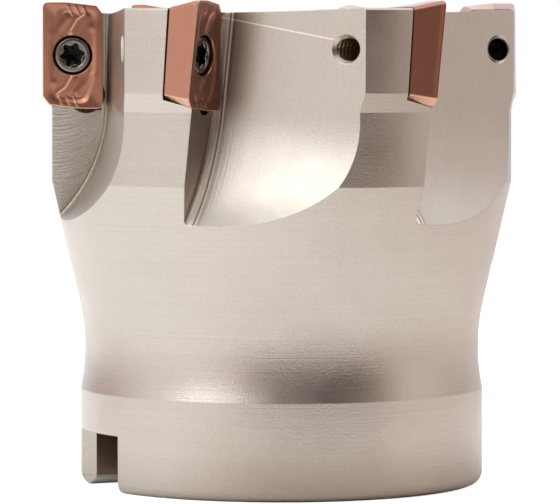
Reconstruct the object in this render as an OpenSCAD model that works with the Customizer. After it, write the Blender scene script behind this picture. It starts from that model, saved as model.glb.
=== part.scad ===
// Square-shoulder face mill: a shell-type cutter body that carries six indexable inserts,
// each held in its pocket by one countersunk six-lobe screw.
// The cutter stands on its mounting face at z = 0, on its own axis, with the cutting end up.
// The drive slots run along X.

/* [Cutter] */
// Diameter over the cutting edges
cutting_d = 50; // [48:0.5:54]
// Height from the mounting face to the insert tips
cutter_h = 50; // [47:0.5:58]
// Angle of the first tooth from the drive slots
first_tooth = 46.3; // [40:0.1:52]

/* [Hub] */
// Diameter of the hub collar
hub_d = 42; // [40:0.5:44]
// Depth of the waist's hollow inside the collar
waist_depth = 0.45; // [0.2:0.05:1.2]
// Height of the narrowest part of the waist
waist_z = 14.3; // [13:0.1:16]
// Radius of the waist's hollow
waist_arc_r = 21; // [15:0.5:22]
// Rounding of the lower edge of the hub
hub_round = 1.2; // [0.3:0.1:1.4]

/* [Crown] */
// How far the cutting edges stand out of the lands
edge_proud = 0.7; // [0.5:0.05:1]
// How far the insert tips stand above the rim of the body
tip_proud = 0.75; // [0.5:0.05:1.5]
// Height of the lands at the cutting end
land_h = 8.45; // [7:0.05:10]
// Height of the cone under the lands
step_h = 1.9; // [1:0.1:3]
// Radial depth of the step under the lands
step_depth = 0.37; // [0.1:0.01:0.8]
// Height of the plain cylinder under the cone
crown_h = 7.4; // [5:0.1:9]
// Angle by which the end face is hollowed
dish_angle = 4; // [1:0.5:6]
// Chamfer on the rim of the body
rim_chamfer = 0.2; // [0.1:0.05:0.5]

/* [Arbor seat] */
// Diameter of the arbor bore
bore_d = 16; // [13:0.5:20]
// Depth of the arbor bore
bore_depth = 19; // [17:0.5:22]
// Chamfer at the mouth of the bore
bore_chamfer = 0.6; // [0.2:0.1:1.2]
// Thickness of the web under the arbor screw's head
web_t = 12; // [8:0.5:14]
// Diameter of the arbor screw's hole through the web
arbor_hole_d = 9; // [7:0.5:11]
// Diameter of the recess for the arbor screw's head
recess_d = 14; // [12:0.5:18]
// Width of the drive slots
slot_w = 8.4; // [7:0.1:10]
// Depth of the drive slots
slot_depth = 5.9; // [5:0.1:7]
// Corner radius at the bottom of the drive slots
slot_fillet = 0.5; // [0.2:0.1:1]
// Rounding of the lower edges of the drive slots
slot_round = 1; // [0.2:0.1:1.2]
// How far each side of a drive slot gives way at its mouth
mouth_w = 1; // [0.5:0.1:1.5]
// Length of the slot's mouth
mouth_l = 1.25; // [0.5:0.05:2]

/* [Gullets] */
// Lean of the gullet walls along the axis
gullet_lean = 6; // [3:0.5:9]
// Distance from an insert's inner edge to the gullet floor
floor_gap = 0.7; // [0.3:0.05:0.8]
// Angle by which the gullet floor rises away from the wall
floor_tilt = 1.45; // [0.5:0.05:2]
// Height of the straight part of the gullet floor under the tips
gullet_h = 10.5; // [9:0.1:13]
// Radius on which the gullet floor runs out of the body
gullet_arc_r = 16.7; // [12:0.1:20]
// Fillet between gullet wall and floor
gullet_fillet = 0.4; // [0.2:0.1:1]

/* [Inserts] */
// Width of an insert
insert_w = 6.2; // [5.5:0.1:6.8]
// Length of an insert
insert_l = 11; // [10:0.1:12]
// Thickness of an insert at the middle of its edges
insert_t = 3.4; // [3:0.1:3.8]
// Rise of the cutting edges towards the nose
edge_rise = 0.25; // [0.05:0.05:0.4]
// Nose radius of an insert
nose_r = 0.6; // [0.3:0.1:1]
// Length of the wiper flat beside the nose
wiper_l = 1.85; // [1:0.05:2.5]
// Drop of the end edge from wiper to corner
end_drop = 0.37; // [0.1:0.01:0.6]
// Width of the corner chamfer
chamfer_w = 0.65; // [0.3:0.05:1]
// Length of the corner chamfer
chamfer_l = 0.85; // [0.3:0.05:1.2]
// Length of the corner chamfer at the seat
chamfer_seat_l = 0.5; // [0.3:0.05:0.7]
// Relief angle of the long flanks
side_relief = 11; // [7:0.5:13]
// Relief angle of the end flanks under the wipers
end_relief = 15; // [11:0.5:17]
// Relief angle of the end flanks beside the corner chamfers
corner_relief = 9.5; // [8:0.5:10]
// Width of the sloped rake land inside the cutting edge
rake_w = 1; // [0.6:0.05:1]
// Depth of the hollow inside the rake land
rake_depth = 0.3; // [0.1:0.05:0.4]
// Lean of the insert seats along the axis
seat_lean = 4; // [2:0.5:6]
// Swing of the insert seats about the cutting edge
seat_swing = 5; // [2:0.5:6]
// Radius of the hollow in the inner corner of a pocket
pocket_hollow_r = 1.9; // [1.5:0.05:2.1]
// How far that hollow reaches past the inner wall
hollow_side = 0.2; // [0.1:0.05:0.3]
// How far that hollow reaches under the lower wall
hollow_low = 0.45; // [0.2:0.05:0.6]
// How far that hollow is sunk under the seat
hollow_sink = 0.1; // [0.05:0.05:0.3]

/* [Insert screws] */
// Mean diameter of the thread, which is drawn plain
thread_d = 2.3; // [2:0.1:2.6]
// Length of the screw under the top of its head
screw_l = 6.5; // [5.5:0.1:7.5]
// Diameter of the head
head_d = 3.64; // [3.4:0.02:3.8]
// Height of the head's straight rim
head_rim = 0.3; // [0.15:0.05:0.4]
// Full angle of the head's cone
head_cone = 60; // [50:1:80]
// How far the head lies under the hollow of the rake face
head_sink = 0.2; // [0.1:0.05:0.4]
// Diameter of the insert's hole around the head
head_hole_d = 4.1; // [4:0.05:4.3]
// Diameter of the insert's hole around the thread
insert_hole_d = 2.8; // [2.75:0.01:2.95]
// Diameter over the lobes of the drive recess
lobe_d = 2.54; // [2.2:0.02:2.6]
// Diameter of one lobe
lobe_tip_d = 0.6; // [0.4:0.05:0.7]
// Depth of the drive recess
lobe_depth = 0.9; // [0.5:0.05:1]
// Width of the bevel where a thread hole leaves the gullet floor
exit_bevel = 0.3; // [0.1:0.05:0.4]

/* [Fits] */
// Gap between an insert and its seat
seat_gap = 0.02; // [0.01:0.01:0.05]
// Gap between an insert and the walls of its pocket
side_gap = 0.05; // [0.02:0.01:0.1]
// Gap between the screw's cone and its countersink
cone_gap = 0.03; // [0.01:0.01:0.06]
// Radial gap around the thread
thread_gap = 0.04; // [0.02:0.01:0.1]

/* [Hidden] */
$fn = 96;
tooth_count = 6;
lobe_count = 6;
arc_steps = 6;
fillet_steps = 12;
waist_steps = 16;
through = 1;
body_colour = "#cdc6bc";
insert_colour = "#a8644c";
screw_colour = "#4a4746";

cutting_r = cutting_d / 2;
hub_r = hub_d / 2;
bore_r = bore_d / 2;
recess_r = recess_d / 2;
rim_z = cutter_h - tip_proud;
land_r = cutting_r - edge_proud;
crown_r = land_r - step_depth;
land_z = rim_z - land_h;
step_z = land_z - step_h;
flare_z = step_z - crown_h;
recess_z = bore_depth + web_t;
dish_z = rim_z - (land_r - rim_chamfer) * tan(dish_angle);

// The flare leaves the crown's lower corner and runs tangent into the waist's hollow.
waist_c = [hub_r - waist_depth + waist_arc_r, waist_z];
flare_from = [crown_r, flare_z];
flare_reach = norm(waist_c - flare_from);
flare_bearing = atan2(flare_from.y - waist_c.y, flare_from.x - waist_c.x);
tangent_at = flare_bearing + acos(waist_arc_r / flare_reach);
collar_at = 180 + acos((waist_arc_r - waist_depth) / waist_arc_r);

// Each tooth's frame has X outwards, Y out of the rake face and Z towards the tips.
insert_z = cutter_h - insert_l / 2 * cos(seat_lean);
floor_x = cutting_r - insert_w * cos(seat_swing) - floor_gap;
gullet_low = cutter_h - gullet_h - insert_z;
gullet_reach = cutting_d;
wiper_x = insert_w / 2 - nose_r - wiper_l;
end_slope = atan(end_drop / (wiper_x + insert_w / 2 - chamfer_w));
seat_w = insert_w - 2 * insert_t * tan(side_relief);
seat_l = insert_l - 2 * insert_t * tan(end_relief);
seat_drop = end_drop - insert_t * (tan(end_relief) - tan(corner_relief));
seat_y = -insert_t - seat_gap;
pocket_top = edge_rise + through / 2;

head_y = -rake_depth - head_sink;
cone_y = head_y - head_rim;
cone_h = (head_d - thread_d) / 2 / tan(head_cone / 2);

// A tooth's thread hole leaves through the floor of the gullet before it.
seat_turn = 360 / tooth_count - seat_swing;
seat_mid = cutting_r * [cos(360 / tooth_count), sin(360 / tooth_count)]
    - insert_w / 2 * [cos(seat_turn), sin(seat_turn)];
hole_way = cos(seat_lean) * [sin(seat_turn), -cos(seat_turn)];
floor_slope = tan(floor_tilt);
hole_run = (floor_x + floor_slope * seat_mid.y - seat_mid.x) / (hole_way.x - floor_slope * hole_way.y);
exit_at = seat_mid + hole_run * hole_way;
exit_z = hole_run * sin(seat_lean);
exit_r = thread_d / 2 + thread_gap + exit_bevel;

// Points along an arc about c, from one angle to another
function arc(c, r, from, to, steps) =
    [for (i = [0 : steps]) let (a = from + (to - from) * i / steps) c + r * [cos(a), sin(a)]];

// Half of an insert's outline: nose, wiper, end edge and corner chamfer
function half_outline(w, l, drop, corner_l) = concat(
    arc([w / 2 - nose_r, l / 2 - nose_r], nose_r, 0, 90, arc_steps),
    [[w / 2 - nose_r - wiper_l * w / insert_w, l / 2]],
    [[chamfer_w - w / 2, l / 2 - drop]],
    [[-w / 2, l / 2 - drop - corner_l]]
);

// The outline is the same after half a turn, so each insert has two cutting corners.
function outline(w, l, drop, corner_l) =
    let (half = half_outline(w, l, drop, corner_l)) concat(half, [for (p = half) -p]);

// The cutting edge climbs towards both noses.
function rim_height(p) = edge_rise * p.x * p.y / (insert_w * insert_l / 4);

module seat_frame(k) {
    rotate([0, 0, first_tooth + (k - 1) * 360 / tooth_count])
        translate([cutting_r, 0, insert_z])
            rotate([0, 0, -seat_swing])
                rotate([-seat_lean, 0, 0])
                    translate([-insert_w / 2, 0, 0])
                        children();
}

// A cylinder or cone along the screw's axis, from height y down by h
module along_screw(y, h, r1, r2) {
    translate([0, y, 0])
        rotate([90, 0, 0])
            cylinder(h = h, r1 = r1, r2 = r2);
}

module body_blank() {
    rotate_extrude()
        polygon(concat(
            [[0, 0]],
            arc([hub_r - hub_round, hub_round], hub_round, 270, 360, arc_steps),
            arc(waist_c, waist_arc_r, collar_at, tangent_at, waist_steps),
            [[crown_r, flare_z], [crown_r, step_z], [land_r, land_z]],
            [[land_r, rim_z - rim_chamfer], [land_r - rim_chamfer, rim_z], [0, dish_z]]
        ));
}

module arbor_seat() {
    translate([0, 0, -through])
        cylinder(h = bore_depth + through, r = bore_r);
    translate([0, 0, -bore_chamfer])
        cylinder(h = 2 * bore_chamfer, r1 = bore_r + 2 * bore_chamfer, r2 = bore_r);
    cylinder(h = cutter_h, d = arbor_hole_d);
    translate([0, 0, recess_z])
        cylinder(h = cutter_h, r = recess_r);
}

// The slots cross the hub, are rounded along their lower edges and widen at their outer ends.
module drive_slots() {
    corner = [slot_w / 2 - slot_fillet, slot_depth - slot_fillet];
    foot = [slot_w / 2 + slot_round, slot_round];
    mouth_x = sqrt(pow(hub_r, 2) - pow(slot_w / 2 + mouth_w, 2));
    translate([-hub_d, 0, 0])
        rotate([90, 0, 90])
            linear_extrude(height = 2 * hub_d)
                polygon(concat(
                    [[-foot.x, -through], [foot.x, -through]],
                    arc(foot, slot_round, 270, 180, arc_steps),
                    arc(corner, slot_fillet, 0, 90, arc_steps),
                    arc([-corner.x, corner.y], slot_fillet, 90, 180, arc_steps),
                    arc([-foot.x, foot.y], slot_round, 0, -90, arc_steps)
                ));
    for (turn = [0, 180])
        rotate([0, 0, turn])
            translate([mouth_x, 0, -through])
                linear_extrude(height = slot_depth + through)
                    polygon([
                        [-mouth_l, -slot_w / 2], [mouth_l, -slot_w / 2 - 2 * mouth_w],
                        [mouth_l, slot_w / 2 + 2 * mouth_w], [-mouth_l, slot_w / 2]
                    ]);
}

// A gullet has a plane wall at y = 0 and a plane floor that runs out on an arc.
module gullet(k) {
    fillet_in = gullet_fillet * (floor_slope + 1 / cos(floor_tilt));
    far_in = gullet_reach * floor_slope;
    corner = [floor_x + fillet_in, gullet_fillet];
    turned = [gullet_arc_r - fillet_in, gullet_fillet];
    rotate([0, 0, first_tooth + (k - 1) * 360 / tooth_count])
        translate([0, 0, insert_z])
            rotate([-gullet_lean, 0, 0]) {
                translate([0, 0, gullet_low])
                    linear_extrude(height = gullet_reach)
                        polygon(concat(
                            [[gullet_reach, gullet_reach], [gullet_reach, 0]],
                            arc(corner, gullet_fillet, 270, 180 - floor_tilt, fillet_steps),
                            [[floor_x + far_in, gullet_reach]]
                        ));
                translate([floor_x + gullet_arc_r, 0, gullet_low])
                    rotate([-90, 0, 0])
                        rotate_extrude()
                            polygon(concat(
                                [[0, gullet_reach], [0, 0]],
                                arc(turned, gullet_fillet, 270, 360 + floor_tilt, fillet_steps),
                                [[gullet_arc_r - far_in, gullet_reach]]
                            ));
            }
}

// The bevel is a countersink square to the gullet floor.
module hole_exit(k) {
    rotate([0, 0, first_tooth + (k - 1) * 360 / tooth_count])
        translate([exit_at.x - exit_r, exit_at.y, insert_z + exit_z])
            rotate([0, 90, -floor_tilt])
                cylinder(h = exit_r + through, r1 = 0, r2 = exit_r + through);
}

// A pocket has a seat, an inner wall and a lower wall that follow the insert's flanks.
module pocket(k) {
    inner_x = -insert_w / 2 - side_gap;
    lower_z = -insert_l / 2 - side_gap;
    seat_frame(k) {
        intersection() {
            translate([0, 0, -insert_l])
                linear_extrude(height = 3 * insert_l)
                    polygon([
                        [inner_x + insert_t * tan(side_relief), seat_y],
                        [2 * insert_w, seat_y],
                        [2 * insert_w, pocket_top],
                        [inner_x - pocket_top * tan(side_relief), pocket_top]
                    ]);
            translate([-wiper_x, 0, lower_z])
                rotate([0, -end_slope, 0])
                    rotate([90, 0, 90])
                        translate([0, 0, -2 * insert_w])
                            linear_extrude(height = 4 * insert_w)
                                polygon([
                                    [seat_y, insert_t * tan(corner_relief)],
                                    [pocket_top, -pocket_top * tan(corner_relief)],
                                    [pocket_top, 3 * insert_l],
                                    [seat_y, 3 * insert_l]
                                ]);
        }
        translate([inner_x + pocket_hollow_r - hollow_side, 0, lower_z + pocket_hollow_r - hollow_low])
            along_screw(pocket_top, pocket_top - seat_y + hollow_sink, pocket_hollow_r, pocket_hollow_r);
        along_screw(0, 2 * screw_l, thread_d / 2 + thread_gap, thread_d / 2 + thread_gap);
    }
}

module cutter_body() {
    color(body_colour)
        difference() {
            body_blank();
            arbor_seat();
            drive_slots();
            for (k = [1 : tooth_count]) gullet(k);
            for (k = [1 : tooth_count]) hole_exit(k);
            for (k = [1 : tooth_count]) pocket(k);
        }
}

// Seat, cutting edge and hollow of the rake face are rings of the same outline.
module insert_blank() {
    hollow_w = insert_w - 2 * rake_w;
    hollow_l = insert_l - 2 * rake_w;
    seat_ring = [for (p = outline(seat_w, seat_l, seat_drop, chamfer_seat_l)) [p.x, -insert_t, p.y]];
    edge_ring = [for (p = outline(insert_w, insert_l, end_drop, chamfer_l)) [p.x, rim_height(p), p.y]];
    hollow_ring = [for (p = outline(hollow_w, hollow_l, end_drop, chamfer_l)) [p.x, -rake_depth, p.y]];
    n = len(seat_ring);
    polyhedron(
        points = concat(seat_ring, edge_ring, hollow_ring),
        faces = concat(
            [[for (i = [n - 1 : -1 : 0]) i]],
            [for (r = [0, n], i = [0 : n - 1]) [r + i, r + (i + 1) % n, r + n + (i + 1) % n]],
            [for (r = [0, n], i = [0 : n - 1]) [r + i, r + n + (i + 1) % n, r + n + i]],
            [[for (i = [0 : n - 1]) 2 * n + i]]
        )
    );
}

module insert(k) {
    cone_drop = cone_gap / sin(head_cone / 2);
    color(insert_colour)
        seat_frame(k)
            difference() {
                insert_blank();
                along_screw(through, through - cone_y + cone_drop, head_hole_d / 2, head_hole_d / 2);
                along_screw(through, 2 * insert_t, insert_hole_d / 2, insert_hole_d / 2);
                along_screw(cone_y - cone_drop, cone_h, head_d / 2, thread_d / 2);
            }
}

module insert_screw(k) {
    recess_h = through + lobe_depth;
    color(screw_colour)
        seat_frame(k)
            difference() {
                union() {
                    along_screw(head_y, head_rim, head_d / 2, head_d / 2);
                    along_screw(cone_y, cone_h, head_d / 2, thread_d / 2);
                    along_screw(head_y, screw_l, thread_d / 2, thread_d / 2);
                }
                along_screw(head_y + through, recess_h, lobe_d * 3 / 8, lobe_d * 3 / 8);
                for (i = [1 : lobe_count])
                    rotate([0, i * 360 / lobe_count, 0])
                        translate([(lobe_d - lobe_tip_d) / 2, 0, 0])
                            along_screw(head_y + through, recess_h, lobe_tip_d / 2, lobe_tip_d / 2);
            }
}

cutter_body();
insert(1);  // insert_1
insert(2);  // insert_2
insert(3);  // insert_3
insert(4);  // insert_4
insert(5);  // insert_5
insert(6);  // insert_6
insert_screw(1);  // insert_screw_1
insert_screw(2);  // insert_screw_2
insert_screw(3);  // insert_screw_3
insert_screw(4);  // insert_screw_4
insert_screw(5);  // insert_screw_5
insert_screw(6);  // insert_screw_6
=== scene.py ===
import bpy
import bmesh
import functools
import math
import numpy as np
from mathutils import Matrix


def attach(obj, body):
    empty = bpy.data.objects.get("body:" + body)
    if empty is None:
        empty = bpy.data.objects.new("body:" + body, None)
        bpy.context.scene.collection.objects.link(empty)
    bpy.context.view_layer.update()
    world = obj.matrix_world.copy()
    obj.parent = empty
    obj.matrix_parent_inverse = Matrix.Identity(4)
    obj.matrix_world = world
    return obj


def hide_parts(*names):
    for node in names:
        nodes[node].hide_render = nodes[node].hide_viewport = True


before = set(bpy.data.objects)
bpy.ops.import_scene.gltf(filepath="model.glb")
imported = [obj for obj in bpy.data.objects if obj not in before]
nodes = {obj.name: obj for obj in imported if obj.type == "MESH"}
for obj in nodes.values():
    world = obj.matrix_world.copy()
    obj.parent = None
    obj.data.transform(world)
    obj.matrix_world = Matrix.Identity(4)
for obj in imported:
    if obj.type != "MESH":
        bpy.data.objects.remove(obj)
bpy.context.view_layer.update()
mm = 0.001
hair = 0.01  # mm that a point may lie off a face or line and still count as on it
white = (1, 1, 1, 1)
noiseSpan = (0.3, 0.7)  # most of a noise pattern's values lie in here

# sizes that the seats, gullets and inserts share with the solids, in mm and degrees
cutter = {
    "teeth": 6, "firstTooth": 46.3, "cuttingR": 25.0, "height": 50.0,
    "seatLean": 4.0, "seatSwing": 5.0, "gulletLean": 6.0,
    "floorGap": 0.7, "floorTilt": 1.45, "gulletH": 10.5, "gulletArcR": 16.7, "gulletFillet": 0.4,
    "insertW": 6.2, "insertL": 11.0, "insertT": 3.4,
}
teeth = range(1, cutter["teeth"] + 1)
insertZ = cutter["height"] - cutter["insertL"] / 2 * math.cos(math.radians(cutter["seatLean"]))
insertReach = cutter["insertW"] * math.cos(math.radians(cutter["seatSwing"]))
floorX = cutter["cuttingR"] - insertReach - cutter["floorGap"]
floorTilt = math.tan(math.radians(cutter["floorTilt"]))


# matrix of a turn about the upright axis
def turnZ(degrees):
    c, s = math.cos(math.radians(degrees)), math.sin(math.radians(degrees))
    return np.array([[c, -s, 0], [s, c, 0], [0, 0, 1]])


# matrix of a turn about the first axis
def turnX(degrees):
    c, s = math.cos(math.radians(degrees)), math.sin(math.radians(degrees))
    return np.array([[1, 0, 0], [0, c, -s], [0, s, c]])


# matrix that turns the first axis to a tooth
def toothTurn(k):
    return turnZ(cutter["firstTooth"] + (k - 1) * 360 / cutter["teeth"])


# seat frame: origin in the middle of the rake face, axes outwards, out of the rake face, towards the tips
def seatFrame(k):
    spin = toothTurn(k)
    lean = turnZ(-cutter["seatSwing"]) @ turnX(-cutter["seatLean"])
    edge = np.array([cutter["cuttingR"], 0, insertZ])
    return spin @ (edge + lean @ np.array([-cutter["insertW"] / 2, 0, 0])), spin @ lean


# gullet frame: origin on the axis at the height of the insert's middle, same order of axes
def gulletFrame(k):
    return np.array([0, 0, insertZ]), toothTurn(k) @ turnX(-cutter["gulletLean"])


# points of a frame in the cutter's own coordinates: origin plus each coordinate along its axis
def place(local, origin, axes):
    return origin + local @ axes.T


# soft step from 0 to 1 between two values: 3 t squared minus 2 t cubed
def smooth(low, high, value):
    t = np.clip((value - low) / (high - low), 0, 1)
    return t * t * (3 - 2 * t)


# distance from points to the straight line between two ends
def segment(x, z, a, b):
    a, b = np.array(a), np.array(b)
    t = np.clip(((x - a[0]) * (b - a)[0] + (z - a[1]) * (b - a)[1]) / ((b - a) @ (b - a)), 0, 1)
    return np.hypot(x - a[0] - t * (b - a)[0], z - a[1] - t * (b - a)[1])


# sRGB hex value as a linear colour
def linear(hexColour):
    rgb = np.array([int(hexColour[i:i + 2], 16) for i in (1, 3, 5)]) / 255
    rgb = np.where(rgb <= 0.04045, rgb / 12.92, ((rgb + 0.055) / 1.055) ** 2.4)
    return (*rgb.tolist(), 1.0)


# which setting the second word of a node's kind goes to
modeOf = {
    "Math": "operation", "VectorMath": "operation", "MapRange": "interpolation_type", "Mix": "data_type",
    "VectorRotate": "rotation_type", "Attribute": "attribute_name",
}


# adds one node and hands on one of its outputs; inputs are values or links, in order or in a dictionary
def addNode(tree, kind, *values, out=0, **settings):
    kind, _, mode = kind.partition(" ")
    node = tree.nodes.new("ShaderNode" + kind)
    if mode:
        settings[modeOf[kind]] = mode
    for key, value in settings.items():
        setattr(node, key, value)
    inputs = values[0] if values and isinstance(values[0], dict) else dict(enumerate(values))
    for key, value in inputs.items():
        if isinstance(value, bpy.types.NodeSocket):
            tree.links.new(value, node.inputs[key])
        else:
            node.inputs[key].default_value = value
    return node.outputs[out] if len(node.outputs) else None


# empties the nodes of a material or world and gives the function that adds to them
def nodesOf(owner):
    owner.use_nodes = True
    owner.node_tree.nodes.clear()
    return functools.partial(addNode, owner.node_tree)


def link(name, data):
    piece = bpy.data.objects.new(name, data)
    bpy.context.scene.collection.objects.link(piece)
    return piece


# closed surface from a grid of rings: rows run along the profile, columns go round and join up;
# rows either join up as well or end in a point each
def ringSurface(name, grid, joinRows):
    rows, cols = grid.shape[:2]
    points = grid.reshape(-1, 3)
    row, col = np.meshgrid(np.arange(rows if joinRows else rows - 1), np.arange(cols), indexing="ij")
    below, beside = (row + 1) % rows, (col + 1) % cols
    quads = np.stack([row * cols + col, row * cols + beside, below * cols + beside, below * cols + col], -1)
    faces = quads.reshape(-1, 4).tolist()
    if not joinRows:
        points = np.vstack([points, grid[0].mean(0), grid[-1].mean(0)])
        around, after = np.arange(cols), (np.arange(cols) + 1) % cols
        first, last, shift = rows * cols, rows * cols + 1, (rows - 1) * cols
        faces += np.stack([after, around, np.full(cols, first)], -1).tolist()
        faces += np.stack([around + shift, after + shift, np.full(cols, last)], -1).tolist()
    a, b, c, d = (points[[f[i] for f in faces]] for i in (0, 1, 2, -1))
    volume = np.einsum("ij,ij->", a, np.cross(b, c)) + np.einsum("ij,ij->", a, np.cross(c, d))
    if volume < 0:
        faces = [f[::-1] for f in faces]
    mesh = bpy.data.meshes.new(name)
    mesh.from_pydata((points * mm).tolist(), [], faces)
    mesh.polygons.foreach_set("use_smooth", np.ones(len(faces), bool))
    mesh.update()
    return link(name, mesh)


# camera: a long lens from the front, a little under the level of the tips and looking slightly down
cameraView = {
    "turn": -23.3, "distance": 406.0, "eyeHeight": 45.2, "aside": -0.16, "pitch": 2.99,
    "focalPx": 3889.0, "pictureW": 560, "sensorMm": 36,
}
cameraData = bpy.data.cameras.new("camera")
cameraData.sensor_width = cameraView["sensorMm"]
cameraData.lens = cameraView["focalPx"] * cameraView["sensorMm"] / cameraView["pictureW"]
cameraData.clip_start = 0.01
camera = link("camera", cameraData)
eye = np.array([cameraView["aside"], -cameraView["distance"], cameraView["eyeHeight"]])
camera.location = (turnZ(cameraView["turn"]) @ eye * mm).tolist()
camera.rotation_euler = (math.radians(90 - cameraView["pitch"]), 0, math.radians(cameraView["turn"]))
bpy.context.scene.camera = camera
bpy.context.scene.view_settings.view_transform = "Standard"
print("camera set")

# room: white walls, brighter to the left, a dark opening at the front right, a bluish back, a ceiling,
# a large soft light at the top left and a dark patch straight ahead; bearings are in degrees
# from the camera's side, plus to the right, and a place is a bearing and a rise
room = {
    "leftWall": 1.17, "opening": 0.04, "rightWall": 1.08, "rear": 0.88, "ceiling": 1.5,
    "openingEdge": (-82, 20), "rightEdge": (44, 78), "rearEdge": (118, 152), "ceilingEdge": (25, 50),
    "backLeft": 0.68, "backRight": 0.8, "backEdge": (80, 125), "backSpan": (-0.7, 0.7),
    "topLight": 2.0, "topAt": (-43, 35), "topSpread": (14, 34),
    "darkLevel": 0.3, "darkAt": (0, 2), "darkSpread": (6, 24),
    "warm": "#ffc9b4", "warmSpan": (0.1, 1.55), "cool": "#f3f6ff",
}


def lightRoom():
    world = bpy.data.worlds.new("tent")
    bpy.context.scene.world = world
    add = nodesOf(world)
    where = add("TexCoord", out="Generated")
    where = add("VectorRotate Z_AXIS", {"Vector": where, "Angle": math.radians(-cameraView["turn"])})
    right, back, up = add("SeparateXYZ", where).node.outputs
    bearing = add("Math ARCTAN2", right, add("Math MULTIPLY", back, -1.0))
    bearing = add("Math DEGREES", bearing)
    aside = add("Math ABSOLUTE", bearing)
    rise = add("Math DEGREES", add("Math ARCSINE", up))
    level = add("MapRange SMOOTHSTEP", bearing, *room["openingEdge"], room["leftWall"], room["opening"])
    brighter = room["rightWall"] - room["opening"]
    level = add("Math ADD", level, add("MapRange SMOOTHSTEP", bearing, *room["rightEdge"], 0.0, brighter))
    behind = add("MapRange SMOOTHSTEP", aside, *room["backEdge"])
    backLevel = add("MapRange SMOOTHSTEP", right, *room["backSpan"], room["backLeft"], room["backRight"])
    level = add("Mix", {0: behind, 2: level, 3: backLevel})
    rear = add("MapRange SMOOTHSTEP", aside, *room["rearEdge"])
    level = add("Mix", {0: rear, 2: level, 3: room["rear"]})
    overhead = add("MapRange SMOOTHSTEP", rise, *room["ceilingEdge"])
    level = add("Mix", {0: overhead, 2: level, 3: room["ceiling"]})

    # angle in degrees between a direction and a place
    def away(atBearing, atRise):
        side, lift = math.radians(atBearing), math.radians(atRise)
        aim = (math.cos(lift) * math.sin(side), -math.cos(lift) * math.cos(side), math.sin(lift))
        off = add("VectorMath DOT_PRODUCT", where, aim, out="Value")
        return add("Math DEGREES", add("Math ARCCOSINE", off))

    dark = add("MapRange SMOOTHSTEP", away(*room["darkAt"]), *room["darkSpread"], room["darkLevel"], 1.0)
    level = add("Math MULTIPLY", level, dark)
    light = add("MapRange SMOOTHSTEP", away(*room["topAt"]), *room["topSpread"], room["topLight"], 0.0)
    level = add("Math ADD", level, light)
    pale = add("MapRange SMOOTHSTEP", level, *room["warmSpan"])
    tint = add("Mix RGBA", {0: pale, 6: linear(room["warm"]), 7: white}, out=2)
    tint = add("Mix RGBA", {0: rear, 6: tint, 7: linear(room["cool"])}, out=2)
    # the picture's background itself is plain white
    seen = add("LightPath", out="Is Camera Ray")
    tint = add("Mix RGBA", {0: seen, 6: tint, 7: white}, out=2)
    level = add("Mix", {0: seen, 2: level, 3: 1.0})
    add("OutputWorld", add("Background", tint, level))


# floor: a round table top of matt white card, so the cutter stands on white and keeps a faint shadow;
# in reflections it glows a little as painted light, with warm painted shade to the right, the front right
# and near the foot
floorCard = {
    "radius": 420.0, "colour": "#f2f1ef", "lift": 0.3, "liftSpan": (20, 45), "whiten": 0.75,
    "shade": 0.7, "shadeBearing": 115, "shadeSpan": (0, 150), "shadeTint": "#ffcaa8",
    "front": 0.55, "frontBearing": 36, "frontSpan": (40, 180),
    "near": 0.64, "nearReach": (28, 56), "nearSpan": (0, 25),
}


def mattWhiteCard():
    material = bpy.data.materials.new("matt white card")
    add = nodesOf(material)
    spot = add("VectorMath SCALE", {0: add("TexCoord", out="Object"), "Scale": 1 / mm})

    # how far a spot of the floor lies along a bearing, in mm
    def ahead(bearing):
        side = math.radians(bearing + cameraView["turn"])
        return add("VectorMath DOT_PRODUCT", spot, (math.sin(side), -math.cos(side), 0), out="Value")

    reach = add("VectorMath LENGTH", spot, out="Value")
    front, far = ahead(floorCard["frontBearing"]), ahead(floorCard["shadeBearing"])
    shade = add("MapRange SMOOTHSTEP", far, *floorCard["shadeSpan"], 1.0, floorCard["shade"])
    frontShade = add("MapRange SMOOTHSTEP", front, *floorCard["frontSpan"], 1.0, floorCard["front"])
    shade = add("Math MULTIPLY", shade, frontShade)
    near = add("Math MULTIPLY", add("MapRange SMOOTHSTEP", front, *floorCard["nearSpan"]),
               add("MapRange SMOOTHSTEP", reach, *floorCard["nearReach"], 1.0, 0.0))
    near = add("Math MULTIPLY", near, 1 - floorCard["near"])
    shade = add("Math MULTIPLY", shade, add("Math SUBTRACT", 1.0, near))
    path = add("LightPath").node.outputs
    mirrored, seen = path["Is Glossy Ray"], path["Is Camera Ray"]
    shade = add("Mix", {0: mirrored, 2: 1.0, 3: shade})
    lift = add("Math MULTIPLY", mirrored, add("MapRange SMOOTHSTEP", reach, *floorCard["liftSpan"]))
    lift = add("Math MULTIPLY", add("Math MULTIPLY", lift, floorCard["lift"]), shade)
    lift = add("Math ADD", lift, add("Math MULTIPLY", seen, floorCard["whiten"]))
    tint = add("Mix RGBA", {0: shade, 6: linear(floorCard["shadeTint"]), 7: white}, out=2)
    tone = add("VectorMath MULTIPLY", linear(floorCard["colour"])[:3], tint)
    tone = add("VectorMath SCALE", {0: tone, "Scale": shade})
    add("OutputMaterial", add("AddShader", add("BsdfDiffuse", tone), add("Emission", white, lift)))
    return material


lightRoom()
turn = np.radians(np.arange(0, 360, 3))
cardEdge = np.stack([np.cos(turn), np.sin(turn), 0 * turn], -1) * floorCard["radius"] * mm
floorMesh = bpy.data.meshes.new("floor")
floorMesh.from_pydata(cardEdge.tolist(), [], [tuple(range(len(turn)))])
floorMesh.materials.append(mattWhiteCard())
floor = link("floor", floorMesh)
print("stage set")

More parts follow.
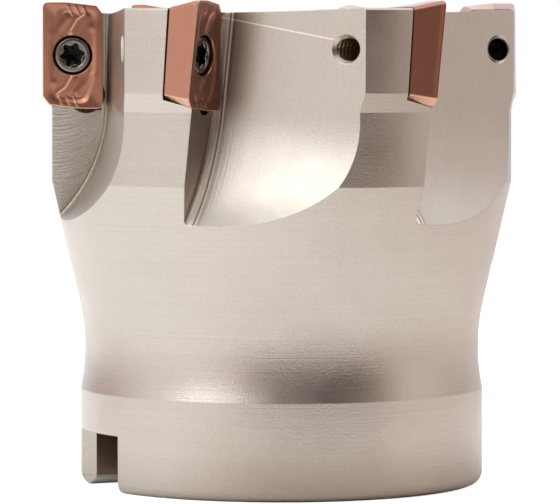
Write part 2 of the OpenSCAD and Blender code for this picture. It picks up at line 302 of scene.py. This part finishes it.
# satin nickel plate over turned and milled steel: warm light grey, soft reflections, fine lines
# round the axis, cutter swirls on the gullet walls and feed lines along the gullet floors;
# lengths are in mm, and the marks are drawn a little coarser than real ones, so that they show
nickelLook = {
    "colour": "#bbb5ad", "roughness": 0.33, "glossSpread": (-0.03, 0.04), "cloudMm": 4.55,
    "lineMm": 0.12, "lineRunMm": 25.0, "grainMm": 0.2, "edgeMm": 0.1, "bumpMm": 0.03, "bumpStrength": 0.6,
    "swirlR": 4.7, "swirlX": 23.3, "swirlMm": 0.24, "swirlDrift": 0.3,
    "feedMm": 0.2, "feedDrift": 0.05, "feedReach": (1.5, 5.0), "feedFar": 0.15,
    "grooveShade": 0.3, "linesDeep": 0.5, "grainDeep": 0.8, "swirlDeep": 1.2, "feedDeep": 0.9,
    # each painted band of reflection and shade: distance from the wall and brightness, on a ramp that ends
    # at bandsEnd and bandsTop
    "paintedBandStops": ((0, 0.5), (0.3, 0.8), (0.42, 1.4), (0.78, 1.35), (0.92, 0.4), (1.0, 0.45), (1.1, 1.45),
                  (1.2, 1.15), (1.32, 0.7), (1.5, 0.85), (1.7, 1)),
    "bandsEnd": 2.0, "bandsTop": 2.0, "paintedShadeBrown": "#bca58f", "floorRougher": 0.08,
    "duskLevel": 0.4, "duskSpan": (1.2, 5.4), "duskStart": (1.15, 1.35), "duskFade": (-7.5, -3.5),
    "lightLineSpan": (0.033, 0.11), "lightLineLift": 0.55, "lightLineEnd": (11.6, 12.6), "slotPaintedShade": 0.42,
    "grazeShade": 0.55, "grazeSpan": (0.45, 0.75), "grazeFloor": 0.6, "grazeFade": (-5.0, -4.0),
}
# numbers of the milled zones on the body's faces
wallZone, floorZone, slotZone, threadZone = 1, 2, 3, 4


def satinNickel():
    look = nickelLook
    material = bpy.data.materials.new("satin nickel plate")
    add = nodesOf(material)
    where = add("TexCoord", out="Object")
    run = 1 / (look["lineRunMm"] * mm)
    lines = add("Mapping", {"Vector": where, "Scale": (run, run, 1 / (look["lineMm"] * mm))})
    lines = add("TexNoise", {"Vector": lines, "Scale": 1.0, "Detail": 2.0})
    grain = add("TexNoise", {"Vector": where, "Scale": 1 / (look["grainMm"] * mm), "Detail": 2.0})
    cloud = add("TexNoise", {"Vector": where, "Scale": 1 / (look["cloudMm"] * mm), "Detail": 3.0})
    zone = add("Attribute millingZone", out="Fac")
    isWall, isFloor, isSlot, isThread = (add("Math COMPARE", zone, float(number))
                                         for number in (wallZone, floorZone, slotZone, threadZone))
    # outwards and upwards on a wall, away from the wall and upwards on a floor
    outward, upward, _ = add("SeparateXYZ", add("Attribute millingMap", out="Vector")).node.outputs

    # swirls: lower halves of the milling cutter's circle shifted up the wall,
    # phase = height plus the circle's own height
    share = add("Math DIVIDE", add("Math SUBTRACT", outward, look["swirlX"]), look["swirlR"])
    share = add("Math MAXIMUM", add("Math MINIMUM", share, 0.99), -0.99)
    bow = add("Math SQRT", add("Math SUBTRACT", 1.0, add("Math MULTIPLY", share, share)))
    phase = add("Math ADD", upward, add("Math MULTIPLY", bow, look["swirlR"]))
    swirl = add("CombineXYZ", add("Math DIVIDE", phase, look["swirlMm"]),
                add("Math MULTIPLY", outward, look["swirlDrift"]))
    swirl = add("TexNoise", {"Vector": swirl, "Scale": 1.0, "Detail": 1.0})
    feed = add("CombineXYZ", add("Math DIVIDE", outward, look["feedMm"]),
               add("Math MULTIPLY", upward, look["feedDrift"]))
    feed = add("TexNoise", {"Vector": feed, "Scale": 1.0, "Detail": 1.0})
    nearWall = add("MapRange", outward, *look["feedReach"], 1.0, look["feedFar"])
    plain = add("Math SUBTRACT", 1.0, add("Math MAXIMUM", isWall, isFloor))
    besideWall = add("Math MULTIPLY", isFloor, nearWall)
    relief = 0.0
    for mask, pattern, deep in ((isWall, swirl, "swirlDeep"), (besideWall, feed, "feedDeep"),
                                (plain, lines, "linesDeep"), (1.0, grain, "grainDeep")):
        height = add("Math MULTIPLY", add("Math SUBTRACT", pattern, 0.5), look[deep])
        relief = add("Math ADD", add("Math MULTIPLY", height, mask), relief)
    rounded = add("Bevel", look["edgeMm"] * mm, samples=6)
    bump = add("Bump", {"Strength": look["bumpStrength"], "Distance": look["bumpMm"] * mm,
                        "Height": relief, "Normal": rounded})
    # painted shade: grooves are coloured a little darker than ridges
    tone = add("Math ADD", 1.0, add("Math MULTIPLY", relief, look["grooveShade"]))

    # painted reflection and shade: dark and light bands along the floor beside the wall
    bands = add("ValToRGB", add("Math DIVIDE", outward, look["bandsEnd"]))
    stops = bands.node.color_ramp.elements
    for number, (edge, value) in enumerate(look["paintedBandStops"]):
        stop = stops[number] if number < 2 else stops.new(edge / look["bandsEnd"])
        stop.position, stop.color = edge / look["bandsEnd"], (*[value / look["bandsTop"]] * 3, 1)
    # painted shade: above the run-out the floor beside the wall is darkened as well
    dusk = add("MapRange SMOOTHSTEP", outward, *look["duskSpan"], 1 - look["duskLevel"], 0.0)
    dusk = add("Math MULTIPLY", dusk, add("MapRange SMOOTHSTEP", upward, *look["duskFade"]))
    dusk = add("Math MULTIPLY", dusk, add("MapRange SMOOTHSTEP", outward, *look["duskStart"]))
    bands = add("Math MULTIPLY", bands, look["bandsTop"])
    bands = add("Math MULTIPLY", bands, add("Math SUBTRACT", 1.0, dusk))
    bands = add("Math MULTIPLY", add("Math SUBTRACT", bands, 1.0), isFloor)
    tone = add("Math MULTIPLY", tone, add("Math ADD", 1.0, bands))

    # one thin lighter line crosses a gullet floor to the thread hole
    off = add("Math ABSOLUTE", add("Attribute scribeAway", out="Fac"))
    lightLine = add("MapRange SMOOTHSTEP", off, *look["lightLineSpan"], look["lightLineLift"], 0.0)
    lightLine = add("Math MULTIPLY", lightLine, add("MapRange SMOOTHSTEP", outward, *look["lightLineEnd"], 1.0, 0.0))
    tone = add("Math ADD", tone, add("Math MULTIPLY", lightLine, isFloor))
    # painted shade: a wall, and a floor above its run-out, are darkened and browned at flat angles
    straight = add("Math MULTIPLY", isFloor, look["grazeFloor"])
    straight = add("Math MULTIPLY", straight, add("MapRange SMOOTHSTEP", upward, *look["grazeFade"]))
    graze = add("MapRange SMOOTHSTEP", add("LayerWeight", out="Facing"), *look["grazeSpan"])
    graze = add("Math MULTIPLY", graze, add("Math MAXIMUM", isWall, straight))
    # painted shade: the slot walls, and walls and floors at flat angles, are darkened
    for mask, dark in ((isSlot, "slotPaintedShade"), (graze, "grazeShade")):
        kept = add("Math SUBTRACT", 1.0, add("Math MULTIPLY", mask, look[dark]))
        tone = add("Math MULTIPLY", tone, kept)
    # painted shade is browned: the dark bands, the slot walls, the thread and the walls and floors at flat
    # angles
    browner = add("Math MAXIMUM", add("Math MULTIPLY", bands, -1.0), 0.0)
    for mask in (isSlot, isThread, graze):
        browner = add("Math MAXIMUM", browner, mask)
    tint = add("Mix RGBA", {0: browner, 6: linear(look["colour"]), 7: linear(look["paintedShadeBrown"])}, out=2)
    tone = add("VectorMath SCALE", {0: tint, "Scale": tone})
    gloss = add("MapRange", cloud, *noiseSpan, *(look["roughness"] + step for step in look["glossSpread"]))
    gloss = add("Math ADD", gloss, add("Math MULTIPLY", isFloor, look["floorRougher"]))
    add("OutputMaterial", add("BsdfPrincipled", {
        "Base Color": tone, "Metallic": 1.0, "Roughness": gloss, "Normal": bump}))
    return material


# copper-coloured hard coating on pressed carbide: satin, reddish brown, faintly mottled;
# with painted sheen at flat angles, painted highlights on honed edges and ground facets, painted shade in
# the screw hole
coatLook = {
    "colour": "#b07f6b", "mottle": "#ad7c69", "holeShade": "#211612", "worn": "#e6bfa6",
    "pale": "#f0e6e0", "paleSpan": (0.72, 0.95), "roughness": 0.34, "glossSpread": (-0.01, 0.01),
    "grainMm": 0.12, "cloudMm": 1.67, "bumpMm": 0.01, "bumpStrength": 0.25,
}


def hardCoating():
    look = coatLook
    material = bpy.data.materials.new("copper hard coating")
    add = nodesOf(material)
    where = add("TexCoord", out="Object")
    grain = add("TexNoise", {"Vector": where, "Scale": 1 / (look["grainMm"] * mm), "Detail": 3.0})
    cloud = add("TexNoise", {"Vector": where, "Scale": 1 / (look["cloudMm"] * mm), "Detail": 3.0})
    # painted sheen: the colour pales at flat angles
    flat = add("MapRange SMOOTHSTEP", add("LayerWeight", out="Facing"), *look["paleSpan"])
    tone = linear(look["colour"])
    # the mottle is the coating's own; the sheen, edge highlights and hole's dark are painted light and shade
    for share, colour in ((cloud, "mottle"), (add("Attribute worn", out="Fac"), "worn"), (flat, "pale"),
                          (add("Attribute inHole", out="Fac"), "holeShade")):
        tone = add("Mix RGBA", {0: share, 6: tone, 7: linear(look[colour])}, out=2)
    bump = add("Bump", {"Strength": look["bumpStrength"], "Distance": look["bumpMm"] * mm, "Height": grain})
    gloss = add("MapRange", cloud, *noiseSpan, *(look["roughness"] + step for step in look["glossSpread"]))
    add("OutputMaterial", add("BsdfPrincipled", {
        "Base Color": tone, "Metallic": 1.0, "Roughness": gloss, "Normal": bump}))
    return material


# hardened screw steel: dark grey, with painted shade black in the recess and on the thread, and painted
# highlights where darker rings leave the head's edges light
screwLook = {
    "colour": "#938f8a", "oiled": "#191718", "roughness": 0.26, "glossSpread": (-0.06, 0.08),
    "grainMm": 0.08, "bumpMm": 0.01, "bumpStrength": 0.2,
}


def hardenedSteel():
    look = screwLook
    material = bpy.data.materials.new("hardened screw steel")
    add = nodesOf(material)
    where = add("TexCoord", out="Object")
    grain = add("TexNoise", {"Vector": where, "Scale": 1 / (look["grainMm"] * mm), "Detail": 2.0})
    shadeShare = add("Attribute oiled", out="Fac")
    tone = add("Mix RGBA", {0: shadeShare, 6: linear(look["colour"]), 7: linear(look["oiled"])}, out=2)
    bump = add("Bump", {"Strength": look["bumpStrength"], "Distance": look["bumpMm"] * mm, "Height": grain})
    gloss = add("MapRange", grain, 0.0, 1.0, *(look["roughness"] + step for step in look["glossSpread"]))
    add("OutputMaterial", add("BsdfPrincipled", {
        "Base Color": tone, "Metallic": 1.0, "Roughness": gloss, "Normal": bump}))
    return material


nickel, coat, screwSteel = satinNickel(), hardCoating(), hardenedSteel()
print("finishes made")

# cutter body: a merged copy of its solid, smooth over its turned and milled faces; the thin lighter line
# runs from one place on a gullet floor to another, each a distance from the wall and a height
bodyLook = {
    "weldMm": 0.0001, "sharpDegrees": 9.0, "slotW": 8.4, "slotDepth": 5.9, "slotFlare": 1.0, "slotFoot": 0.9,
    "slotFromX": 6.0, "hubR": 21.0, "lightLineGullet": 4, "lightLineFrom": (0.0, 3.85), "lightLineTo": (12.2, 2.88),
}
bodyMesh = nodes["cutter_body"].data.copy()
bodyMesh.name = "cutterBodyPlated"
shape = bmesh.new()
shape.from_mesh(bodyMesh)
bmesh.ops.remove_doubles(shape, verts=shape.verts, dist=bodyLook["weldMm"] * mm)
shape.to_mesh(bodyMesh)
shape.free()
for layer in ("custom_normal", "sharp_face", "sharp_edge"):
    if layer in bodyMesh.attributes:
        bodyMesh.attributes.remove(bodyMesh.attributes[layer])
bodyMesh.polygons.foreach_set("use_smooth", np.ones(len(bodyMesh.polygons), bool))
bodyMesh.set_sharp_from_angle(angle=math.radians(bodyLook["sharpDegrees"]))

spots = np.empty(len(bodyMesh.vertices) * 3)
bodyMesh.vertices.foreach_get("co", spots)
spots = spots.reshape(-1, 3) / mm
corners = np.empty(len(bodyMesh.loops), int)
bodyMesh.loops.foreach_get("vertex_index", corners)
totals = np.empty(len(bodyMesh.polygons), int)
bodyMesh.polygons.foreach_get("loop_total", totals)
owner = np.repeat(np.arange(len(totals)), totals)


# how many corners of each face have a mark that its vertices carry
def marked(mask):
    return np.bincount(owner, mask[corners], len(totals))


# milled faces get their own coordinates in mm: on a wall outwards and upwards,
# on a floor away from the wall and along the floor, which is straight above and an arc below
zone, milling = np.zeros(len(totals)), np.zeros((len(corners), 3))
lightLine = np.full(len(corners), 9.0)  # mm, far from the thin lighter line
gulletLow = cutter["height"] - cutter["gulletH"] - insertZ
arcR, fillet = cutter["gulletArcR"], cutter["gulletFillet"]
filletIn = fillet * (floorTilt + 1 / math.cos(math.radians(cutter["floorTilt"])))
for k in teeth:
    origin, axes = gulletFrame(k)
    x, y, z = ((spots - origin) @ axes).T
    arcTurn = np.arctan2(gulletLow - z, floorX + arcR - x)
    arcDepth = arcR - np.hypot(x - floorX - arcR, z - gulletLow)
    depth = np.where(z >= gulletLow, x - floorX, arcDepth)
    along = np.where(z >= gulletLow, z, gulletLow - arcR * arcTurn)
    onWall = (np.abs(y) < hair) & (depth > filletIn - hair)
    inFillet = np.abs(np.hypot(depth - filletIn, y - fillet) - fillet) < 2 * hair
    inFillet &= (depth < filletIn + hair) & (y < fillet + 2 * hair)
    onFloor = ((np.abs(depth - y * floorTilt) < 2 * hair) & (y > fillet - 2 * hair)) | inFillet
    for number, mask, u, v in ((wallZone, onWall, x, z), (floorZone, onFloor, y, along)):
        faces = (marked(mask) == totals) & (marked(x > 0) == totals)
        zone[faces] = number
        here = faces[owner]
        milling[here, 0], milling[here, 1] = u[corners][here], v[corners][here]
        if number == floorZone and k == bodyLook["lightLineGullet"]:
            (fromY, fromZ), (toY, toZ) = bodyLook["lightLineFrom"], bodyLook["lightLineTo"]
            lightLine[here] = (z - fromZ - (y - fromY) * (toZ - fromZ) / (toY - fromY))[corners][here]
# walls of the drive slots, without the hub's outside
x, y, z = spots.T
aside = np.abs(y) - bodyLook["slotW"] / 2
inSlot = (aside > -hair) & (aside < bodyLook["slotFlare"]) & (np.abs(x) > bodyLook["slotFromX"])
inSlot &= (z < bodyLook["slotDepth"] + hair) & (z > bodyLook["slotFoot"])
inHub = np.hypot(x, y) < bodyLook["hubR"] - 2 * hair
zone[(marked(inSlot) == totals) & (marked(inHub) > 0)] = slotZone
bodyMesh.attributes.new("millingZone", "FLOAT", "FACE").data.foreach_set("value", zone)
bodyMesh.attributes.new("millingMap", "FLOAT_VECTOR", "CORNER").data.foreach_set("vector", milling.ravel())
bodyMesh.attributes.new("scribeAway", "FLOAT", "CORNER").data.foreach_set("value", lightLine)
bodyMesh.materials.clear()
bodyMesh.materials.append(nickel)
body = link("cutterBodyPlated", bodyMesh)
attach(body, "cutter_body")
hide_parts("cutter_body")
print("body dressed:", *(f"{int((zone == number).sum())} {name} faces" for number, name in
                        ((wallZone, "wall"), (floorZone, "floor"), (slotZone, "slot"))))

# insert: pressed carbide, the same after half a turn, with a chip former swept across its rake face;
# lines and places on the rake face are pairs, outwards and towards the tips from its middle
insertLook = {
    "noseR": 0.6, "wiperL": 1.85, "endDrop": 0.37, "chamferW": 0.65, "chamferL": 0.85, "edgeRise": 0.25,
    "chamferSeatL": 0.5, "sideRelief": 11.0, "endRelief": 15.0, "cornerRelief": 9.5,
    "stripDepth": 0.55, "stripShare": 0.1, "hone": 0.08, "seatBreak": 0.2, "seatInset": 0.35,
    "landSlope": 0.12, "landW": 2.0, "hollow": 0.26, "hollowSpan": (0.35, 1.05), "hollowTwist": 0.2,
    "creaseX": 2.34, "creaseBow": 0.046, "creaseTop": 0.2, "creaseHook": 0.3, "creaseFoot": -2.6,
    "creaseSpan": (-0.25, 0.6),
    "ridge": 0.15, "ridgeW": 0.3, "ridgeLine": ((-1.37, 4.08), (-0.6, 3.5), (0.04, 2.4)),
    "swell": 0.07, "swellW": 0.42, "swellLine": ((0.5, 3.9), (1.9, 2.1)),
    "valley": 0.05, "valleyW": 0.45, "valleyIn": 0.9, "valleySpan": (1.0, 2.6), "valleyEdge": (0.3, 0.9),
    "rib": 0.075, "ribW": 0.085,
    "ribLines": (((0.46, 5.16), (0.04, 4.2)), ((-0.3, 5.07), (-0.67, 4.3)), ((-1.1, 5.0), (-1.37, 4.3))),
    "bump": 0.04, "bumpW": 0.35, "bumpAt": (-2.02, 2.84), "detailEdge": (0.02, 0.3),
    "edgeSheen": 0.85, "facetSheen": 0.6, "sharpDegrees": 35.0, "rakeRows": 44,
    "headHoleR": 2.05, "holeBreak": 0.08, "shoulder": -0.86, "coneR": 1.82, "coneGap": 0.03,
    "coneEnd": -1.588, "screwHoleR": 1.4, "holeRound": 0.12,
}


# corners of the outline: four down one side from the nose, then the same four turned half round
def insertCorners(w, l, drop=insertLook["endDrop"], cornerL=insertLook["chamferL"]):
    wiper = insertLook["noseR"] + insertLook["wiperL"] * w / cutter["insertW"]
    half = np.array([[w / 2, l / 2], [w / 2 - wiper, l / 2],
                     [insertLook["chamferW"] - w / 2, l / 2 - drop], [-w / 2, l / 2 - drop - cornerL]])
    return np.vstack([half, -half])


# outline: each corner is a curve between points at a set distance from it, joined by straight runs
def insertOutline(w, l, *corners):
    corner = insertCorners(w, l, *corners)
    # for each corner: the length cut off, the points round it and the points along the run after it
    cuts, bends, runs = [insertLook["noseR"], 0.25, 0.12, 0.12] * 2, [14, 4, 5, 5] * 2, [20, 30, 8, 88] * 2
    stretches = []
    for i in range(8):
        here, after, before = corner[i], corner[(i + 1) % 8], corner[i - 1]
        ahead = (after - here) / np.linalg.norm(after - here)
        enter = here + cuts[i] * (before - here) / np.linalg.norm(before - here)
        leave, arrive = here + cuts[i] * ahead, after - cuts[(i + 1) % 8] * ahead
        t = np.linspace(0, 1, bends[i], endpoint=False)[:, None]
        stretches.append((1 - t) ** 2 * enter + 2 * t * (1 - t) * here + t ** 2 * leave)
        t = np.linspace(0, 1, runs[i], endpoint=False)[:, None]
        stretches.append(leave + t * (arrive - leave))
    return np.vstack(stretches)


# rim: twisted, as high as the product of both distances from the middle
def rimHeight(x, z):
    return insertLook["edgeRise"] * x * z / (cutter["insertW"] * cutter["insertL"] / 4)


# crease: where the land along the cutting edge drops into the hollow, as a distance outwards from the middle
# for each height, with a bow towards the tips and a hook at the other end
def creaseAt(z):
    bow = insertLook["creaseBow"] * np.maximum(z - insertLook["creaseTop"], 0) ** 2
    hook = insertLook["creaseHook"] * np.maximum(insertLook["creaseFoot"] - z, 0) ** 2
    return insertLook["creaseX"] - bow + hook


# rake face: the rim's twist on a land that slopes inwards, a hollow inside the creases,
# and ridge, swell, valley, ribs and bump as gaussians of the distance from their lines
def rakeHeight(x, z):
    look = insertLook
    corner = insertCorners(cutter["insertW"], cutter["insertL"])
    side = np.roll(corner, -1, 0) - corner
    inward = np.stack([-side[:, 1], side[:, 0]], -1) / np.linalg.norm(side, axis=1)[:, None]
    apart = np.array([(x - c[0]) * n[0] + (z - c[1]) * n[1] for c, n in zip(corner, inward)])
    # soft minimum of the distances from the eight sides
    sharpness = 6
    inset = -np.log(np.exp(-sharpness * apart).sum(0)) / sharpness
    hollow = smooth(*look["hollowSpan"], inset)
    detail = np.zeros_like(x)
    for px, pz in ((x, z), (-x, -z)):
        within = creaseAt(pz) - px
        hollow = hollow * smooth(*look["creaseSpan"], within)
        start, bend, end = look["ridgeLine"]
        spread = np.minimum(segment(px, pz, start, bend), segment(px, pz, bend, end))
        detail += look["ridge"] * np.exp(-(spread / look["ridgeW"]) ** 2)
        detail += look["swell"] * np.exp(-(segment(px, pz, *look["swellLine"]) / look["swellW"]) ** 2)
        valley = look["valley"] * np.exp(-((within - look["valleyIn"]) / look["valleyW"]) ** 2)
        detail -= valley * smooth(*look["valleySpan"], pz) * smooth(*look["valleyEdge"], inset)
        for line in look["ribLines"]:
            detail += look["rib"] * np.exp(-(segment(px, pz, *line) / look["ribW"]) ** 2)
        bumpX, bumpZ = look["bumpAt"]
        detail += look["bump"] * np.exp(-((px - bumpX) ** 2 + (pz - bumpZ) ** 2) / look["bumpW"] ** 2)
    land = -look["landSlope"] * np.minimum(inset, look["landW"]) * (1 - hollow)
    twist = rimHeight(x, z) * (1 - (1 - look["hollowTwist"]) * hollow)
    return twist + land - look["hollow"] * hollow + detail * smooth(*look["detailEdge"], inset)


# insert: rings from the screw hole over the seat, up the flank, over the honed edge and the rake face,
# and back down the hole
def insertGrid():
    look = insertLook
    w, l, t = cutter["insertW"], cutter["insertL"], cutter["insertT"]
    seatW = w - 2 * t * math.tan(math.radians(look["sideRelief"]))
    fall = t * math.tan(math.radians(look["endRelief"]))
    seatL, cut, inset, hone = l - 2 * fall, look["seatBreak"], look["seatInset"], look["hone"]
    seatDrop = look["endDrop"] - fall + t * math.tan(math.radians(look["cornerRelief"]))
    atSeat = (seatDrop, look["chamferSeatL"])
    top, seat = insertOutline(w, l), insertOutline(seatW, seatL, *atSeat)
    rakeStart = insertOutline(w - 2 * hone, l - 2 * hone)
    circle = rakeStart / np.linalg.norm(rakeStart, axis=1)[:, None]
    rim = rimHeight(*top.T)
    rows, holes, sheens = [], [], []

    def add(xz, y, hole=0.0, sheen=0.0):
        rows.append(np.stack([xz[:, 0], np.broadcast_to(y, len(xz)), xz[:, 1]], -1))
        holes.append(np.full(len(xz), hole))
        sheens.append(np.broadcast_to(sheen, len(xz)))

    # painted shade down the screw hole, lighter towards its rim
    add(circle * look["screwHoleR"], -t + look["holeRound"], 1.0)
    add(circle * (look["screwHoleR"] + look["holeRound"]), -t, 0.6)
    # the seat's edge is broken, and painted shade darkens it into a dark line along the pocket
    add(insertOutline(seatW - 2 * inset, seatL - 2 * inset, *atSeat), -t, 0.4)
    add(insertOutline(seatW - inset, seatL - inset, *atSeat), -t + cut * 0.7, 0.4)
    # ground facets: the end edges and corner chamfers, with a painted highlight
    corner, facet = insertCorners(w, l), np.zeros(len(top))
    for i in (1, 2, 5, 6):
        facet[segment(*top.T, corner[i], corner[i + 1]) < 3 * hair] = look["facetSheen"]
    # flank: depth share u from rim to seat, steeper in a strip below the cutting edge
    strip = look["stripDepth"] / t
    for u in (1 - cut / t, 0.8, 0.6, 0.4, 0.25, strip + 0.015, strip - 0.015, strip / 2, 0.03):
        share = np.interp(u, (0, strip, 1), (0, look["stripShare"], 1))
        add(top + (seat - top) * share, rim * (1 - u) - t * u, 0.0, facet)
    # the honed cutting edge, with a painted highlight
    add(top, rim - hone, 0.0, look["edgeSheen"])
    add(insertOutline(w - 0.6 * hone, l - 0.6 * hone), rim - 0.3 * hone, 0.0, look["edgeSheen"])
    # rake rows run from the honed edge to the rim of the screw hole
    outer = look["headHoleR"] + look["holeBreak"]
    for s in np.linspace(0, 1, look["rakeRows"]):
        xz = (1 - s) * rakeStart + s * outer * circle
        add(xz, rakeHeight(*xz.T))
    holeRim = rows[-1][:, 1]
    # painted shade down the head's hole, darkest at the shoulder
    add(circle * look["headHoleR"], holeRim - look["holeBreak"], 0.25)
    add(circle * look["headHoleR"], holeRim - 2 * look["holeBreak"], 0.45)
    add(circle * look["headHoleR"], look["shoulder"], 1.0)
    add(circle * (look["coneR"] + look["coneGap"]), look["shoulder"], 1.0)
    add(circle * look["screwHoleR"], look["coneEnd"], 1.0)
    return np.stack(rows), np.concatenate(holes), np.concatenate(sheens)


insertRows, insertHoles, insertSheens = insertGrid()
for k in teeth:
    piece = ringSurface(f"insertPressed{k}", place(insertRows, *seatFrame(k)), True)
    piece.data.attributes.new("inHole", "FLOAT", "POINT").data.foreach_set("value", insertHoles)
    piece.data.attributes.new("worn", "FLOAT", "POINT").data.foreach_set("value", insertSheens)
    piece.data.set_sharp_from_angle(angle=math.radians(insertLook["sharpDegrees"]))
    piece.data.materials.append(coat)
    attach(piece, f"insert_{k}")
    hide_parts(f"insert_{k}")
print("inserts made")

# insert screw: six-lobe recess, bevelled head, cone and thread; heights are down from the rake plane
screwSize = {
    "headY": -0.5, "headR": 1.82, "coneY": -0.8, "coneEndY": -1.96, "endY": -7.0,
    "lobeTipR": 1.27, "lobeRootR": 0.95, "lobeDepth": 0.9, "lobeSharp": 1.25, "bevelR": 1.38,
    "pitch": 0.45, "crestR": 1.15, "rootR": 0.92, "turnRows": 10, "sharpDegrees": 40.0,
    "lobeTurns": (33, 14, -9, -22, 5, 41),
}


# screw: rings up the recess, over the head and the cone, and along the thread, which is a triangle wave
# of height plus turn that runs out at both ends; the recess has a cosine of six turns as its radius
def screwGrid(lobeTurn):
    s, a = screwSize, np.radians(np.arange(0, 360, 3))
    swing = (0.5 + 0.5 * np.cos(6 * (a - math.radians(lobeTurn)))) ** s["lobeSharp"]
    lobe = s["lobeRootR"] + (s["lobeTipR"] - s["lobeRootR"]) * swing
    head, bevel, edge, floor = s["headY"], s["bevelR"], s["headR"], s["headY"] - s["lobeDepth"]
    # each ring: radius, height and how much painted shade it has
    rings = [
        (0.25 * lobe, floor - 0.14, 1), (0.92 * lobe, floor, 1), (lobe, floor + 0.06, 1),
        (lobe, floor + 0.45, 1), (lobe, head - 0.2, 0.55),
        (lobe + 0.01, head - 0.14, 0.1), (lobe + 0.04, head - 0.1, 0),
        (np.minimum(lobe + 0.07, bevel - 0.06), head - 0.09, 0.5), (bevel - 0.04, head - 0.07, 0.45),
        (bevel, head - 0.02, 0), (bevel + 0.04, head, 0.1), (bevel + 0.08, head, 0.35),
        (edge - 0.2, head, 0.3), (edge - 0.12, head - 0.015, 0), (edge - 0.03, head - 0.06, 0.1),
        (edge, head - 0.12, 0.5), (edge, s["coneY"], 1), (s["crestR"], s["coneEndY"], 1),
    ]
    for y in np.arange(s["coneEndY"] - 0.05, s["endY"] + 0.2, -s["pitch"] / s["turnRows"]):
        wave = np.abs(2 * ((y / s["pitch"] + a / (2 * np.pi)) % 1) - 1)
        ends = smooth(0, 0.3, s["coneEndY"] - y) * smooth(0.2, 0.5, y - s["endY"])
        rings.append((s["crestR"] - (s["crestR"] - s["rootR"]) * wave * ends, y, 1))
    rings += [(s["crestR"] - 0.02, s["endY"] + 0.18, 1), (s["rootR"] - 0.1, s["endY"], 1)]
    r, y, shadeShare = (np.stack([np.broadcast_to(value, len(a)) for value in column]) for column in zip(*rings))
    return np.stack([r * np.cos(a), y, r * np.sin(a)], -1), shadeShare.ravel().astype(float)


for k in teeth:
    grid, shadeShares = screwGrid(screwSize["lobeTurns"][k - 1])
    piece = ringSurface(f"insertScrewTurned{k}", place(grid, *seatFrame(k)), False)
    shadeShares = np.append(shadeShares, [1.0, 1.0])  # the points at both ends get the painted shade too
    piece.data.attributes.new("oiled", "FLOAT", "POINT").data.foreach_set("value", shadeShares)
    piece.data.set_sharp_from_angle(angle=math.radians(screwSize["sharpDegrees"]))
    piece.data.materials.append(screwSteel)
    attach(piece, f"insert_screw_{k}")
    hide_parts(f"insert_screw_{k}")
print("screws made")

# thread holes: the tapped thread that shows where each hole leaves the gullet floor;
# depths are along the screw's axis
threadSize = {
    "start": 7.15, "short": 0.4, "crestR": 1.135, "rootR": 1.16, "backR": 1.186, "pitch": 0.45, "rows": 60,
    "sharpDegrees": 40.0,
}


# thread: the same triangle wave, of depth minus turn, cut off beside the sloping floor, with a plain back
def threadGrid(k):
    s, a = threadSize, np.radians(np.arange(0, 360, 5))
    origin, axes = seatFrame(k)
    lowOrigin, lowAxes = gulletFrame(k - 1)

    # height of the hole's edge over the floor of the gullet before, at one depth
    def overFloor(depth):
        ring = np.stack([s["backR"] * np.cos(a), np.full(len(a), -depth), s["backR"] * np.sin(a)], -1)
        x, y, _ = ((place(ring, origin, axes) - lowOrigin) @ lowAxes).T
        return x - floorX - y * floorTilt

    near, far = overFloor(0.0), overFloor(1.0)
    end = near / (near - far) - s["short"]
    depth = s["start"] + np.linspace(0, 1, s["rows"])[:, None] * (end - s["start"])
    wave = np.abs(2 * ((depth / s["pitch"] - a / (2 * np.pi)) % 1) - 1)
    r = s["crestR"] + (s["rootR"] - s["crestR"]) * wave
    r = np.vstack([r, np.full((2, len(a)), s["backR"])])
    depth = np.vstack([depth, depth[-1], depth[0]])
    return np.stack([r * np.cos(a), -depth, r * np.sin(a)], -1)


for k in teeth:
    piece = ringSurface(f"threadTapped{k}", place(threadGrid(k), *seatFrame(k)), True)
    zones = np.full(len(piece.data.polygons), float(threadZone))
    piece.data.attributes.new("millingZone", "FLOAT", "FACE").data.foreach_set("value", zones)
    piece.data.set_sharp_from_angle(angle=math.radians(threadSize["sharpDegrees"]))
    piece.data.materials.append(nickel)
    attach(piece, "cutter_body")
print("threads made")
